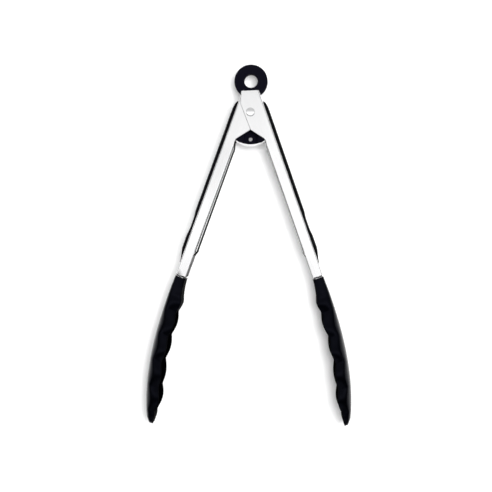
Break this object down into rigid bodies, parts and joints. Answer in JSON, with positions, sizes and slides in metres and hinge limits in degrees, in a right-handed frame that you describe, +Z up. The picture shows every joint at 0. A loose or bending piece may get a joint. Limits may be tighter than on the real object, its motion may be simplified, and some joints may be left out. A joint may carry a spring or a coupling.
{
  "type": "spring loaded kitchen tongs",
  "caption": "Locking kitchen tongs: two steel channel arms on a rivet, spring opened, with rubber grips, scalloped nylon scoop heads and a pull-ring tab.",
  "frame": {"origin": "middle of the object's box, on the surface that it lies on", "axes": "+Z up along the rivet's axis, +Y towards the hanging ring, tips towards -Y, arms mirrored across X = 0"},
  "size_m": [0.1352, 0.2372, 0.0336],
  "materials": {
    "stainless": "fine brushed",
    "spring_steel": "bright rolled",
    "grip_rubber": "matte",
    "head_nylon": "satin moulded",
    "tab_plastic": "satin moulded",
    "bushing_plastic": "plain moulded"
  },
  "bodies": {
    "pivot": {"pivot_rivet": "spring_steel", "rivet_washer": "spring_steel", "pivot_bushing": "bushing_plastic", "leaf_spring": "spring_steel"},
    "left_arm": {"left_arm": "stainless", "left_grip": "grip_rubber", "left_head": "head_nylon"},
    "right_arm": {"right_arm": "stainless", "right_grip": "grip_rubber", "right_head": "head_nylon"},
    "pull_tab": {"pull_tab": "tab_plastic"}
  },
  "joints": [
    {"name": "left_arm_hinge", "type": "hinge", "parent": "pivot", "child": "left_arm", "pos_m": [0, 0.08608, 0.017], "axis": [0, 0, 1], "range_deg": [0, 16.8], "stiffness_Nm_per_rad": 1, "springref_deg": -11.46, "deforming": ["leaf_spring"]},
    {"name": "right_arm_hinge", "type": "hinge", "parent": "pivot", "child": "right_arm", "pos_m": [0, 0.08608, 0.017], "axis": [0, 0, 1], "range_deg": [-16.8, 0], "stiffness_Nm_per_rad": 1, "springref_deg": 11.46},
    {"name": "pull_tab_slide", "type": "slide", "parent": "pivot", "child": "pull_tab", "axis": [0, 1, 0], "range_m": [0, 0.0075]}
  ],
  "couplings": [
    {"joint": "right_arm_hinge", "follows": "left_arm_hinge", "ratio": -1}
  ]
}
